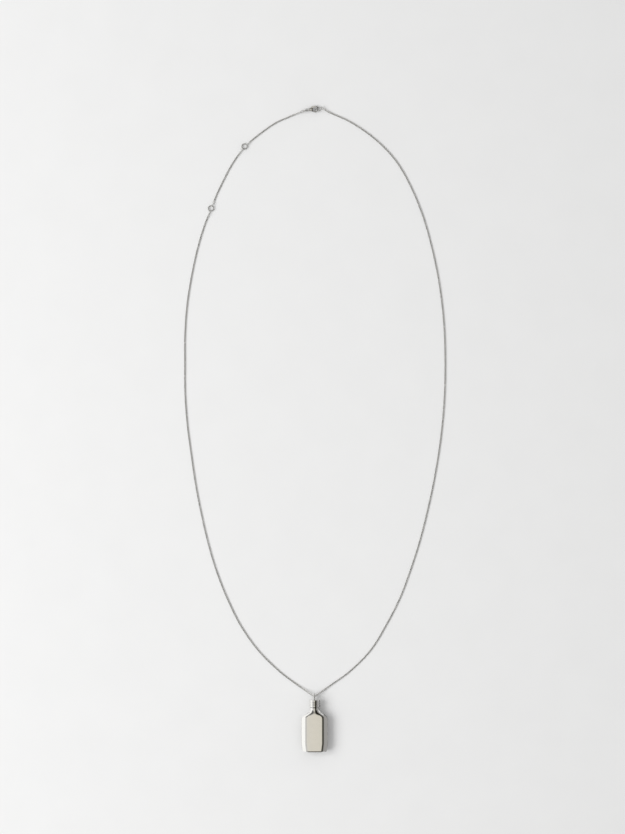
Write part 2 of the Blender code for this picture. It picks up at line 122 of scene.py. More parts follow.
# The runs' routes, the same as in the CAD
Z = TUBE_RISE
MAIN_ROUTE = [
    (-76.0, 349.9, Z), (-80.1, 336.4, Z), (-84.6, 316.3, Z), (-87.8, 295.8, Z), (-89.3, 275.2, Z),
    (-89.4, 254.5, Z), (-89.2, 233.8, Z), (-87.7, 213.2, Z), (-85.0, 192.6, Z), (-82.0, 172.2, Z),
    (-78.1, 151.9, Z), (-73.4, 131.7, Z), (-67.5, 111.9, Z), (-59.9, 92.6, Z), (-50.6, 74.1, Z),
    (-38.6, 57.2, Z), (-23.9, 42.7, Z), (-14.5, 35.5, Z), (-8.5, 31.3, 1.1), (-4.4, 28.6, 2.2),
    (-1.7, 26.9, 3.2), tuple(CHAIN_IN_BAIL), (1.7, 26.9, 3.2), (4.4, 28.7, 2.2),
    (8.5, 31.6, 1.1), (14.5, 35.7, Z), (24.3, 42.9, Z), (38.8, 57.7, Z), (49.7, 75.3, Z),
    (59.0, 93.7, Z), (66.3, 113.1, Z), (72.6, 132.8, Z), (77.7, 152.8, Z), (82.1, 173.1, Z),
    (85.6, 193.4, Z), (88.2, 214.1, Z), (89.7, 234.7, Z), (90.1, 255.3, Z), (89.6, 276.0, Z),
    (87.9, 296.7, Z), (84.8, 317.1, Z), (80.4, 337.3, Z), (74.6, 357.2, Z), (66.8, 376.4, Z),
    (56.6, 394.3, Z), (42.4, 409.4, Z), (25.5, 421.3, Z), (13.5, 426.9, Z), (9.6, 428.5, 1.2),
]
MIDDLE_ROUTE = [(-56.8, 392.6, Z), (-66.3, 374.1, Z)]
TOP_ROUTE = [(-12.6, 427.3, 1.15), (-17.5, 425.2, Z), (-27.2, 420.8, Z), (-40.5, 411.3, Z)]


# Materials


def new_material(name):
    made = bpy.data.materials.new(name)
    made.use_nodes = True
    return made, made.node_tree.nodes, made.node_tree.links


def node(nodes, kind, **settings):
    made = nodes.new(kind)
    for key, value in settings.items():
        if key.startswith("in_"):
            made.inputs[key[3:].replace("_", " ")].default_value = value
        else:
            setattr(made, key, value)
    return made


def ramp(nodes, stops):
    made = nodes.new("ShaderNodeValToRGB")
    elements = made.color_ramp.elements
    while len(elements) < len(stops):
        elements.new(0.5)
    for element, (position, colour) in zip(elements, stops):
        element.position = position
        element.color = (*colour, 1)
    return made


def grey(level):
    return (level, level, level)


def noise_tone(name, scale, detail, dark, light):
    """A material coloured between two tones by a noise in the piece's own space."""
    made, nodes, links = new_material(name)
    shader = nodes["Principled BSDF"]
    place = node(nodes, "ShaderNodeTexCoord").outputs["Object"]
    grain = node(nodes, "ShaderNodeTexNoise", in_Scale=scale, in_Detail=detail)
    links.new(place, grain.inputs["Vector"])
    tone = ramp(nodes, [(0.3, dark), (0.7, light)])
    links.new(grain.outputs["Fac"], tone.inputs["Fac"])
    links.new(tone.outputs["Color"], shader.inputs["Base Color"])
    return made, shader, grain


def silver(name, bright, dull, smooth, rough, grain=(1, 1, 1), scratch=0.02, metal=1.0):
    """Polished silver: hairline scratches, faint polishing swirls and a little tone in the metal."""
    made, nodes, links = new_material(name)
    shader = nodes["Principled BSDF"]
    shader.inputs["Metallic"].default_value = metal
    place = node(nodes, "ShaderNodeTexCoord").outputs["Object"]
    tone = node(nodes, "ShaderNodeTexNoise", in_Scale=260.0, in_Detail=5.0, in_Roughness=0.6)
    links.new(place, tone.inputs["Vector"])
    tone_ramp = ramp(nodes, [(0.35, dull), (0.62, bright)])
    links.new(tone.outputs["Fac"], tone_ramp.inputs["Fac"])
    links.new(tone_ramp.outputs["Color"], shader.inputs["Base Color"])
    stretch = node(nodes, "ShaderNodeMapping")
    stretch.inputs["Scale"].default_value = grain
    stretch.inputs["Rotation"].default_value = (0.2, 0.3, 0.5)
    links.new(place, stretch.inputs["Vector"])
    hair = node(nodes, "ShaderNodeTexNoise", in_Scale=2600.0, in_Detail=3.0, in_Roughness=0.55)
    links.new(stretch.outputs["Vector"], hair.inputs["Vector"])
    swirl = node(nodes, "ShaderNodeTexNoise", in_Scale=420.0, in_Detail=4.0, in_Distortion=0.8)
    links.new(place, swirl.inputs["Vector"])
    rough_ramp = ramp(nodes, [(0.35, grey(smooth)), (0.7, grey(rough))])
    links.new(swirl.outputs["Fac"], rough_ramp.inputs["Fac"])
    links.new(rough_ramp.outputs["Color"], shader.inputs["Roughness"])
    bump = node(nodes, "ShaderNodeBump", in_Strength=scratch, in_Distance=0.00002)
    links.new(hair.outputs["Fac"], bump.inputs["Height"])
    links.new(bump.outputs["Normal"], shader.inputs["Normal"])
    return made


def seal_rubber():
    """Pale moulded rubber with a fine matt grain."""
    made, shader, grain = noise_tone(
        "seal_rubber", 3200.0, 4.0, (0.58, 0.57, 0.53), (0.74, 0.73, 0.69)
    )
    nodes, links = made.node_tree.nodes, made.node_tree.links
    rough = ramp(nodes, [(0.3, grey(0.55)), (0.7, grey(0.75))])
    links.new(grain.outputs["Fac"], rough.inputs["Fac"])
    links.new(rough.outputs["Color"], shader.inputs["Roughness"])
    bump = node(nodes, "ShaderNodeBump", in_Strength=0.25, in_Distance=0.00003)
    links.new(grain.outputs["Fac"], bump.inputs["Height"])
    links.new(bump.outputs["Normal"], shader.inputs["Normal"])
    return made


def spring_steel():
    """Drawn wire: fine lines, a little darker and duller than the silver."""
    bright, dull = (0.62, 0.61, 0.60), (0.45, 0.44, 0.43)
    return silver("spring_steel", bright, dull, 0.22, 0.38, (1, 1, 6), 0.1)


def floor_paper():
    """Smooth pale board, with the faint mottling that a matt studio surface has."""
    made, shader, _ = noise_tone(
        "studio_board", 35.0, 3.0, (0.800, 0.800, 0.797), (0.812, 0.812, 0.809)
    )
    shader.inputs["Roughness"].default_value = 0.9
    shader.inputs["Specular IOR Level"].default_value = 0.15
    return made


def painted_shade_card_material():
    """Matt dark grey: painted shade, which the metal mirrors in place of the board."""
    made, shader, _ = noise_tone("painted_shade_card", 300.0, 3.0, grey(0.20), grey(0.23))
    shader.inputs["Roughness"].default_value = 0.9
    return made


SILVER = silver("polished_silver", (0.93, 0.925, 0.91), (0.91, 0.905, 0.89), 0.03, 0.06, (1, 9, 1))
SILVER_CAP = silver("turned_silver", (0.92, 0.915, 0.90), (0.86, 0.855, 0.84), 0.05, 0.1, (1, 12, 1))
SILVER_CHAIN = silver(
    "chain_silver", (0.97, 0.965, 0.95), (0.88, 0.875, 0.86), 0.18, 0.3, metal=0.92
)
# The rings' silver is the polished silver painted darker: painted shade on the rings, the bail's solder
# foot and the pin.
SHADED_RING_SILVER = silver("ring_silver_painted_darker", (0.68, 0.675, 0.665), (0.54, 0.535, 0.525), 0.06, 0.12)
SILVER_CAST = silver("cast_silver", (0.74, 0.737, 0.73), (0.62, 0.617, 0.61), 0.08, 0.16)


# Shapes


def smooth_curve(points, reads_per_span):
    """Points read from a centripetal Catmull-Rom curve that goes through the given points."""
    knots = [Vector(p) for p in points]
    ends = [knots[0] * 2 - knots[1]] + knots + [knots[-1] * 2 - knots[-2]]
    read = []
    for span in zip(ends, ends[1:], ends[2:], ends[3:]):
        marks = [0.0]
        for start, finish in zip(span, span[1:]):
            marks.append(marks[-1] + (finish - start).length ** 0.5)
        for step in range(reads_per_span):
            mark = marks[1] + (marks[2] - marks[1]) * step / reads_per_span
            level = list(span)
            for reach in (1, 2):
                level = [
                    a.lerp(b, (mark - marks[k]) / (marks[k + reach] - marks[k]))
                    for k, (a, b) in enumerate(zip(level, level[1:]))
                ]
            read.append(level[0].lerp(level[1], (mark - marks[1]) / (marks[2] - marks[1])))
    return read + [knots[-1]]


def arc(x, y, radius, start, finish, steps):
    """Points along a circle's arc, from one angle to another in degrees."""
    points = []
    for step in range(steps + 1):
        angle = math.radians(start + (finish - start) * step / steps)
        points.append((x + radius * math.cos(angle), y + radius * math.sin(angle)))
    return points


def build(name, vertices, faces, material, body, sharp=None):
    """A mesh piece from points in millimetres, which rides on a CAD body."""
    mesh = bpy.data.meshes.new(name)
    scaled = np.asarray([tuple(v) for v in vertices], float) * MM
    mesh.from_pydata(scaled.tolist(), [], [tuple(f) for f in faces])
    mesh.validate()
    mesh.shade_smooth()
    if sharp is not None:
        mesh.set_sharp_from_angle(angle=math.radians(sharp))
    made = bpy.data.objects.new(name, mesh)
    SCENE.collection.objects.link(made)
    made.data.materials.append(material)
    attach(made, body)
    return made


def swept(path, radius_at, sides, closed, ups=None):
    """Vertices and faces of a round wire along a path; radius_at takes the share of the way along."""
    count = len(path)
    vertices, faces = [], []
    normal = None
    for i, point in enumerate(path):
        before = path[i - 1] if closed or i else path[i]
        after = path[(i + 1) % count] if closed or i < count - 1 else path[i]
        tangent = (after - before).normalized()
        if ups is not None:
            normal = ups - tangent * ups.dot(tangent)
        elif normal is None:
            guess = Vector((0, 0, 1)) if abs(tangent.z) < 0.9 else Vector((1, 0, 0))
            normal = guess - tangent * guess.dot(tangent)
        else:
            normal = normal - tangent * normal.dot(tangent)
        normal = normal.normalized()
        side = tangent.cross(normal)
        radius = radius_at(i / count)
        for k in range(sides):
            angle = k / sides * math.tau
            vertices.append(point + (normal * math.cos(angle) + side * math.sin(angle)) * radius)
    rings = count if closed else count - 1
    for i in range(rings):
        j = (i + 1) % count
        for k in range(sides):
            m = (k + 1) % sides
            faces.append((i * sides + k, j * sides + k, j * sides + m, i * sides + m))
    if not closed:
        faces.append(tuple(range(sides)))
        faces.append(tuple(reversed(range((count - 1) * sides, count * sides))))
    return vertices, faces


def wire_ring(name, cad_node, centre, along, up, radius, wire, body, seam_turn, seam="soldered"):
    """A ring bent from round wire, with the soldered or the cut join that such a ring has."""
    normal = along.cross(up).normalized()
    path = []
    steps = 96
    opening = CUT_OPENING if seam == "cut" else 0.0
    for step in range(steps):
        share = step / (steps if seam == "soldered" else steps - 1)
        turn = seam_turn + math.tau * (opening + share * (1 - 2 * opening))
        wave = 1 + RING_UNEVENNESS * math.sin(2 * turn + 0.7)
        path.append(centre + (along * math.cos(turn) + up * math.sin(turn)) * radius * wave)

    def radius_at(share):
        join = min(share, 1 - share) * math.tau * radius
        near = math.exp(-((join / JOIN_REACH) ** 2))
        beside = math.exp(-(((join - PINCH_PLACE) / PINCH_REACH) ** 2))
        if seam == "soldered":
            change = SOLDER_BEAD * near - SOLDER_PINCH * beside
        else:
            change = -CUT_PINCH * near
        return wire / 2 * (WIRE_SHARE + change)

    vertices, faces = swept(path, radius_at, 24, seam == "soldered", normal)
    made = build(name, vertices, faces, SHADED_RING_SILVER, body, sharp=50)
    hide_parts(cad_node)


def leaning(bearing, lean):
    """The two directions that a leaning ring's plane holds: level, and up the slope."""
    along = CLASP_TURN @ Vector((math.cos(bearing), math.sin(bearing), 0))
    across = CLASP_TURN @ Vector((-math.sin(bearing), math.cos(bearing), 0))
    return along, across * math.cos(lean) + Vector((0, 0, math.sin(lean)))


def end_link(name, cad_node, wire_point, tangent, outward, ring_wire):
    """The oval link round a ring's wire. Returns the point where the run's next link begins."""
    along = (outward - tangent * outward.dot(tangent)).normalized()
    across = tangent.cross(along)
    half_length = (END_LINK_LENGTH - END_LINK_WIRE) / 2
    radius = (END_LINK_WIDTH - END_LINK_WIRE) / 2
    back = (ring_wire + END_LINK_WIRE) / 2 + RING_GAP
    centre = wire_point + along * (half_length - back)
    path = []
    for step in range(64):
        angle = step / 64 * math.tau
        oval = half_length * math.cos(angle)
        straight = math.copysign(half_length - radius, math.cos(angle)) + radius * math.cos(angle)
        reach = oval + (straight - oval) * END_LINK_SQUARENESS
        path.append(centre + along * reach + across * radius * math.sin(angle))
    vertices, faces = swept(
        path, lambda share: END_LINK_WIRE / 2 * WIRE_SHARE, 18, True, along.cross(across)
    )
    made = build(name, vertices, faces, SILVER_CHAIN, "chain")
    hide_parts(cad_node)
    return centre + along * (half_length + END_LINK_WIRE / 2 + END_LINK_TO_RUN)


def flat_link(name, cad_node, ring_centre, towards):
    """The end link on an adjuster ring, which lies almost flat."""
    outward = (Vector(towards) - ring_centre) * Vector((1, 1, 0))
    outward.normalize()
    tangent = Vector((0, 0, 1)).cross(outward)
    tangent.rotate(Matrix.Rotation(END_LINK_TILT, 3, outward))
    wire_point = ring_centre + outward * ADJUSTER_RADIUS
    start = end_link(name, cad_node, wire_point, tangent, outward, ADJUSTER_WIRE)
    return Vector((start.x, start.y, TUBE_RISE))


def leaning_link(name, cad_node, ring, side, towards):
    """The end link on one of the clasp's rings, on the ring's left (-1) or right (1)."""
    offset, bearing, lean, radius = ring
    along, up = leaning(bearing, lean)
    wire_point = CLAW_CENTRE + CLASP_TURN @ offset + along * radius * side
    return end_link(name, cad_node, wire_point, up, Vector(towards) - wire_point, CLASP_RING_WIRE)


def link_shape(around, sides):
    """One curb link along +X: an oval loop of wire with a quarter twist, so that its neighbours fit."""
    half = (LINK_LENGTH - LINK_WIRE) / 2
    wide = (LINK_WIDTH - LINK_WIRE) / 2
    path = []
    for step in range(around):
        angle = step / around * math.tau
        x = half * math.cos(angle)
        y = wide * math.sin(angle) * (1 + LINK_WAIST * math.cos(2 * angle))
        twist = LINK_TWIST * x / half
        path.append(Vector((x, y * math.cos(twist), y * math.sin(twist))))
    vertices, faces = swept(path, lambda share: LINK_WIRE / 2, sides, True)
    return np.array([tuple(v) for v in vertices]), np.array(faces)


def run_frames(route):
    """The links' places along a route, an even distance apart, with the chain's direction there."""
    fine = smooth_curve(route, 40)
    for point in fine:
        point.z = max(point.z, TUBE_RISE)
    steps = [(b - a).length for a, b in zip(fine, fine[1:])]
    total = sum(steps)
    count = max(2, round((total - LINK_LENGTH) / LINK_PITCH) + 1)
    pitch = (total - LINK_LENGTH) / (count - 1)
    walked = np.concatenate([[0], np.cumsum(steps)])
    xyz = np.array([tuple(p) for p in fine])

    def at(distance):
        return Vector([float(np.interp(distance, walked, xyz[:, k])) for k in range(3)])

    frames = []
    for k in range(count):
        distance = LINK_LENGTH / 2 + pitch * k
        direction = (at(min(distance + 0.5, total)) - at(max(distance - 0.5, 0))).normalized()
        frames.append((at(distance), direction))
    return frames


def chain_run(name, cad_node, route, starts_at, ends_at):
    """One run of curb chain: every link is real, and turns a little of its own accord.

    The first and last links reach through the end links, so they stand up on edge and leave their
    height, and the next few turn back down to lie flat.
    """
    begin, finish = Vector(route[0]), Vector(route[-1])
    first = begin + (begin - Vector(route[1])).normalized() * LINK_REACH
    last = finish + (finish - Vector(route[-2])).normalized() * LINK_REACH
    frames = run_frames([first, *route, last])
    shape, shape_faces = link_shape(14, 6)
    vertices, faces, path = [], [], []
    count = len(frames)
    for i, (point, direction) in enumerate(frames):
        width = Vector((0, 0, 1)).cross(direction).normalized()
        normal = direction.cross(width)
        stand = math.exp(-min(i, count - 1 - i) / STANDING_LINKS)
        hold = starts_at if i < count / 2 else ends_at
        roll = math.radians(random.uniform(-LINK_ROLL_PLAY, LINK_ROLL_PLAY))
        roll += ROLL_WAVE * math.sin(i * ROLL_WAVE_PER_LINK) + STANDING_ROLL * stand
        yaw = math.radians(random.uniform(-LINK_YAW_PLAY, LINK_YAW_PLAY))
        basis = Matrix((direction, width, normal)).transposed()
        basis = basis @ Matrix.Rotation(roll, 3, "X") @ Matrix.Rotation(yaw, 3, "Z")
        centre = point.copy()
        centre.z = max(centre.z - (TUBE_RISE - LINK_RISE) * (1 - stand), LINK_RISE)
        centre.z += max(hold - centre.z, 0) * stand
        faces.append(shape_faces + len(vertices) * len(shape))
        vertices.append(shape @ np.array(basis).T + np.array(centre))
        path.append(centre)
    all_faces = np.concatenate(faces).tolist()
    made = build(name, np.concatenate(vertices), all_faces, SILVER_CHAIN, "chain")
    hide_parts(cad_node)
    start = path[0] + (path[0] - path[1]).normalized() * LINK_LENGTH / 2
    finish = path[-1] + (path[-1] - path[-2]).normalized() * LINK_LENGTH / 2
    path = [start, *path, finish]


def make_chain():
    main_left = flat_link("link_main_left", "end_link_main_left", ADJUSTER_2, MAIN_ROUTE[1])
    main_right = leaning_link(
        "link_main_right", "end_link_main_right", END_RING, 1, MAIN_ROUTE[-1]
    )
    middle_upper = flat_link(
        "link_middle_upper", "end_link_middle_upper", ADJUSTER_1, MIDDLE_ROUTE[0]
    )
    middle_lower = flat_link(
        "link_middle_lower", "end_link_middle_lower", ADJUSTER_2, MIDDLE_ROUTE[-1]
    )
    top_clasp = leaning_link("link_top_clasp", "end_link_top_clasp", JUMP_RING, -1, TOP_ROUTE[0])
    top_lower = flat_link("link_top_lower", "end_link_top_lower", ADJUSTER_1, TOP_ROUTE[-1])
    ring = ADJUSTER_HEIGHT
    chain_run(
        "curb_chain_main", "chain_main", [main_left, *MAIN_ROUTE, main_right], ring, main_right.z
    )
    chain_run(
        "curb_chain_middle", "chain_middle", [middle_upper, *MIDDLE_ROUTE, middle_lower], ring, ring
    )
    chain_run("curb_chain_top", "chain_top", [top_clasp, *TOP_ROUTE, top_lower], top_clasp.z, ring)


def make_rings():
    flat = (Vector((1, 0, 0)), Vector((0, 1, 0)))
    for name, cad_node, centre, body, seam in (
        ("adjuster_upper", "adjuster_ring_1", ADJUSTER_1, "upper_adjuster_ring", 2.4),
        ("adjuster_lower", "adjuster_ring_2", ADJUSTER_2, "lower_adjuster_ring", 2.9),
    ):
        wire_ring(name, cad_node, centre, *flat, ADJUSTER_RADIUS, ADJUSTER_WIRE, body, seam)
    for name, cad_node, ring, body, seam in (
        ("jump_ring_wire", "clasp_jump_ring", JUMP_RING, "jump_ring", 1.6),
        ("end_ring_wire", "end_ring", END_RING, "caught_ring", 4.4),
    ):
        offset, bearing, lean, radius = ring
        along, up = leaning(bearing, lean)
        centre = CLAW_CENTRE + CLASP_TURN @ offset
        wire_ring(name, cad_node, centre, along, up, radius, CLASP_RING_WIRE, body, seam, "cut")
    wire_ring(
        "bail_ring_wire",
        "bail_ring",
        BAIL_CENTRE,
        Vector((0, 1, 0)),
        Vector((0, 0, 1)),
        BAIL_RADIUS,
        BAIL_WIRE,
        "cap",
        math.pi,
    )


def make_bail_foot():
    """The solder that spreads from the bail's wire over the cap's top."""
    rings = []
    for y, half_x, half_z in BAIL_FOOT:
        rings.append([
            Vector((half_x * math.sin(turn), y, AXIS_HEIGHT + half_z * math.cos(turn)))
            for turn in np.linspace(0, math.tau, 32, endpoint=False)
        ])
    vertices, faces = skin(rings, False)
    made = build("bail_solder_foot", vertices, faces, SHADED_RING_SILVER, "cap", sharp=70)
    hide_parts("bail_ring")


# Flask

NECK_RADIUS = 3.5
BORE_RADIUS = 1.8
FLASK_BOTTOM = -11.9
SHOULDER = 10.55
NECK_BOTTOM = 18.0
NECK_TOP = 22.45
SHOULDER_STEP = 0.16
STATION_EASE = 0.28
FOOT_EASE = 0.1
MOST_OF_EDGE = 0.45

THREAD_PITCH = 1.1
THREAD_CORE = 2.85
THREAD_HEIGHT = 0.3
THREAD_START = 19.1
THREAD_END = 22.1
THREAD_FADE = 0.5
THREAD_STEP = 0.055

PANEL_EASE = 1.15
SIDE_EASE = 0.22
PANEL_DOME = 0.05
INSIDE_EASE = 0.25
BASE_OUTLINE = (7.15, 4.9, 2.95, 1.4)


def eased_polyline(corners, eases, edge_points, corner_points):
    """Points along an open polyline whose inner corners are rounded over the given distances."""
    points = []
    count = len(corners)
    for i in range(count - 1):
        start, end = Vector(corners[i]), Vector(corners[i + 1])
        length = (end - start).length
        head = min(eases[i], length * MOST_OF_EDGE)
        tail = min(eases[i + 1], length * MOST_OF_EDGE)
        direction = (end - start).normalized()
        first = start + direction * head
        last = end - direction * tail
        for k in range(edge_points[i]):
            points.append(first.lerp(last, k / (edge_points[i] - 1)))
        if i < count - 2:
            after = Vector(corners[i + 2]) - end
            leave = end + after.normalized() * min(eases[i + 1], after.length * MOST_OF_EDGE)
            for k in range(1, corner_points + 1):
                t = k / (corner_points + 1)
                points.append(last.lerp(end, t).lerp(end.lerp(leave, t), t))
    return points


def flask_ring(y, width, panel, depth, side, roundness, panel_ease, side_ease, dome=0.0):
    """One ring of the flask at height y, from the middle of its face round through +X."""
    corners = [(0, depth), (panel, depth), (width, side), (width, 0)]
    quarter = eased_polyline(corners, (0, panel_ease, side_ease, 0), (7, 5, 5), 9)[1:-1]
    quarter = [(x, z - dome * min(x / panel, 1) ** 2) for x, z in quarter]
    full = quarter + [(x, -z) for x, z in reversed(quarter)]
    full += [(-x, -z) for x, z in full]
    ring = []
    for x, z in full:
        angle = math.atan2(x, z)
        round_x, round_z = NECK_RADIUS * math.sin(angle), NECK_RADIUS * math.cos(angle)
        mixed_x = x * (1 - roundness) + round_x * roundness
        mixed_z = z * (1 - roundness) + round_z * roundness
        ring.append(Vector((mixed_x, y, AXIS_HEIGHT + mixed_z)))
    return ring


FLASK_STATIONS = [
    # y, half width, half width of the panel, half depth, half height of the side, roundness
    (FLASK_BOTTOM, 7.95, 5.4, 3.75, 1.75, 0.0),
    (-11.5, 8.3, 5.65, 4.1, 1.95, 0.0),
    (-6.2, 9.05, 6.3, 4.1, 2.0, 0.0),
    (10.8, 9.05, 6.3, 4.1, 2.0, 0.0),
    (12.1, 8.35, 6.1, 4.1, 2.45, 0.0),
    (13.2, 7.2, 5.05, 4.07, 2.8, 0.03),
    (14.2, 6.05, 4.0, 4.0, 2.8, 0.12),
    (15.2, 5.0, 3.0, 3.9, 2.65, 0.3),
    (16.2, 4.25, 2.0, 3.78, 2.4, 0.6),
    (17.1, 3.8, 1.4, 3.62, 2.0, 0.9),
    (17.8, 3.5, 1.2, 3.5, 1.7, 1.0),
]


def station_at(y):
    """The flask's measures at height y, with each change of slope eased over half a millimetre."""
    table = np.array(FLASK_STATIONS)
    reach = STATION_EASE if y > FLASK_BOTTOM + 0.9 else FOOT_EASE
    reads = []
    for share in (-1, -0.5, 0, 0.5, 1):
        height = y + reach * share
        reads.append([np.interp(height, table[:, 0], table[:, k]) for k in range(1, 6)])
    return np.array(reads).mean(0)


def round_ring(y, radius_at, count):
    """One round ring about the pendant's axis; radius_at takes the share of a turn."""
    ring = []
    for step in range(count):
        turn = (step + 0.5) / count
        radius = radius_at(turn)
        x = radius * math.sin(turn * math.tau)
        z = radius * math.cos(turn * math.tau)
        ring.append(Vector((x, y, AXIS_HEIGHT + z)))
    return ring


def turned(profile, count):
    """Round rings from heights and radii."""
    return [round_ring(y, lambda turn, radius=radius: radius, count) for y, radius in profile]


def skin(rings, joined):
    """Vertices and faces over rings of equal length."""
    count = len(rings[0])
    vertices = [v for ring in rings for v in ring]
    faces = []
    spans = len(rings) if joined else len(rings) - 1
    for i in range(spans):
        j = (i + 1) % len(rings)
        for k in range(count):
            m = (k + 1) % count
            faces.append((i * count + k, i * count + m, j * count + m, j * count + k))
    if not joined:
        faces.append(tuple(reversed(range(count))))
        faces.append(tuple(range((len(rings) - 1) * count, len(rings) * count)))
    return vertices, faces


def thread_bump(y, turn):
    """How far up the thread's flank the surface is at a height and a turn, from 0 to 1."""
    return 0.5 + 0.5 * math.cos(math.tau * (y / THREAD_PITCH - turn))


def neck_thread(y, turn):
    """The threaded neck's radius, with the thread fading in and out at its ends."""
    fade = min(max(min(y - THREAD_START, THREAD_END - y) / THREAD_FADE, 0), 1)
    return THREAD_CORE + THREAD_HEIGHT * fade * thread_bump(y, turn)


def make_flask():
    heights = [-11.9, -11.86, -11.8, -11.7, -11.58, -11.45, -11.25, -10.5, -9, -7.5, -6.8]
    heights += [-6.5, -6.35, -6.2, -6.05, -5.9, -5.5, -4, 0, 4, 8, 9.8, 10.4]
    heights += list(np.arange(SHOULDER, NECK_BOTTOM, SHOULDER_STEP))
    rings = [flask_ring(y, *station_at(y), PANEL_EASE, SIDE_EASE, PANEL_DOME) for y in heights]
    sides = len(rings[0])
    foot_of_neck = [
        (NECK_BOTTOM, NECK_RADIUS),
        (18.28, NECK_RADIUS),
        (18.4, NECK_RADIUS - 0.08),
        (18.42, NECK_RADIUS - 0.2),
        (18.44, THREAD_CORE + 0.15),
        (18.57, THREAD_CORE),
    ]
    rings += turned(foot_of_neck, sides)
    for y in np.arange(18.8, 22.3, THREAD_STEP):
        rings.append(round_ring(y, lambda turn, y=y: neck_thread(y, turn), sides))
    mouth = [
        (22.38, THREAD_CORE - 0.04),
        (NECK_TOP, THREAD_CORE - 0.14),
        (NECK_TOP, BORE_RADIUS + 0.15),
        (22.38, BORE_RADIUS + 0.03),
        (22.2, BORE_RADIUS),
        (16.4, BORE_RADIUS),
    ]
    rings += turned(mouth, sides)
    inside = [
        (14.6, 4.3, 1.9, 2.95, 1.4, 0.35),
        (12.6, 6.8, 4.3, 3.25, 1.6, 0.0),
        (11.0, 8.2, 5.7, 3.3, 1.65, 0.0),
        (-6.2, 8.2, 5.7, 3.3, 1.65, 0.0),
        (-11.0, *BASE_OUTLINE, 0.0),
        (-11.84, *BASE_OUTLINE, 0.0),
        (FLASK_BOTTOM, 7.22, 4.95, 3.02, 1.43, 0.0),
    ]
    rings += [flask_ring(*station, INSIDE_EASE, INSIDE_EASE) for station in inside]
    vertices, faces = skin(rings, True)
    made = build("flask_shell", vertices, faces, SILVER, "flask", sharp=38)
    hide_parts("flask_body")


def make_base_plate():
    """The plate in the flask's bottom, with its lower edge broken."""
    rings = []
    for y, gap in (
        (FLASK_BOTTOM, 0.18), (-11.885, 0.1), (-11.84, 0.05), (-11.78, 0.03), (-11.1, 0.03)
    ):
        outline = [half - gap for half in BASE_OUTLINE]
        rings.append(flask_ring(y, *outline, 0.0, INSIDE_EASE, INSIDE_EASE))
    vertices, faces = skin(rings, False)
    plate = build("flask_base_plate", vertices, faces, SILVER, "flask", sharp=40)
    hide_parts("flask_base")


CAP_RADIUS = 3.95
CAP_BOTTOM = 18.75
CAP_TOP = 23.9
CAP_CEILING = 23.1
CAP_EDGE = 0.4
CAP_THREAD_CLEARANCE = 0.12
GROOVES = (20.4, 21.8)
GROOVE_PROFILE = [
    # height from the groove's middle, depth
    (-0.30, 0.0), (-0.25, 0.012), (-0.2, 0.07), (-0.14, 0.19), (-0.07, 0.26),
    (0.0, 0.28), (0.07, 0.26), (0.14, 0.19), (0.2, 0.07), (0.25, 0.012), (0.30, 0.0),
]


def make_cap():
    """The cap: a turned shell with two rolled grooves, a crisp mouth and the thread inside."""
    minor = THREAD_CORE + CAP_THREAD_CLEARANCE
    sides = 96
    rings = turned([(CAP_CEILING, minor)], sides)
    for y in np.arange(22.3, 18.94, -THREAD_STEP):
        rings.append(
            round_ring(y, lambda turn, y=y: minor + THREAD_HEIGHT * thread_bump(y, turn), sides)
        )
    outside = [
        (18.84, minor + 0.36),
        (18.76, minor + 0.44),
        (CAP_BOTTOM, minor + 0.5),
        (CAP_BOTTOM, CAP_RADIUS - 0.19),
        (18.77, CAP_RADIUS - 0.08),
        (18.82, CAP_RADIUS - 0.02),
        (18.9, CAP_RADIUS),
        (19.3, CAP_RADIUS),
    ]
    for groove in GROOVES:
        outside += [(groove + rise, CAP_RADIUS - depth) for rise, depth in GROOVE_PROFILE]
    outside.append((22.8, CAP_RADIUS))
    outside += [
        (y, radius)
        for radius, y in arc(CAP_RADIUS - CAP_EDGE, CAP_TOP - CAP_EDGE, CAP_EDGE, 0, 90, 8)
    ]
    outside += [(CAP_TOP, 3.0), (CAP_TOP, 1.5), (CAP_TOP, 0.4)]
    rings += turned(outside, sides)
    vertices, faces = skin(rings, False)
    made = build("cap_grooved", vertices, faces, SILVER_CAP, "cap", sharp=38)
    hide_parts("cap_shell")


SEAL_BOTTOM = 22.55
SEAL_THICKNESS = 0.45
SEAL_EDGE = [(0, 2.62), (0.02, 2.71), (0.07, 2.78), (0.14, 2.8)]


def make_seal():
    """The loose sealing disc, with its rims rounded."""
    profile = [(SEAL_BOTTOM + rise, radius) for rise, radius in SEAL_EDGE]
    for rise, radius in reversed(SEAL_EDGE):
        profile.append((SEAL_BOTTOM + SEAL_THICKNESS - rise, radius))
    vertices, faces = skin(turned(profile, 64), False)
    made = build("seal_disc", vertices, faces, seal_rubber(), "seal", sharp=60)
    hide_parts("cap_seal")


# Clasp

CLAW_INNER = 1.45
CLAW_OUTER = 2.2
CLAW_NOSE_OUTER = 2.4
CLAW_NOSE_ANGLE = 69
CLAW_SWEEP = 274
CLAW_HALF_THICKNESS = 0.52
CLAW_SLOPE = 0.09
EYE_X = -5.65
EYE_RADIUS = 0.835
EYE_HALF_WIDTH = 0.215
EYE_HALF_THICKNESS = 0.45
PIVOT = Vector((-2.9, 0.55))
PIN_HOLE = 0.27
LEVER_HOLE = 0.3
CUT_THROUGH = 2.0
SLOT = ((-4.0, -0.25, -0.5), (-1.0, 3.0, 0.5))
LEVER_HALF_THICKNESS = 0.4
LEVER_EDGE = 0.07
SPRING_Y = 0.12
SPRING_POCKET = (-4.2, SPRING_Y, 0.3, 0.55)
SPRING_SPAN = (-4.62, -3.63)
SPRING_RADIUS = 0.19
SPRING_WIRE_RADIUS = 0.055
SPRING_TURNS = 5


def in_clasp(x, y, z):
    """A place given from the middle of the claw's opening, along the clasp."""
    return CLAW_CENTRE + CLASP_TURN @ Vector((x, y, z))


def squarish(value, power):
    """A sine or cosine drawn out towards a square's, the more so the smaller the power."""
    return math.copysign(abs(value) ** power, value)


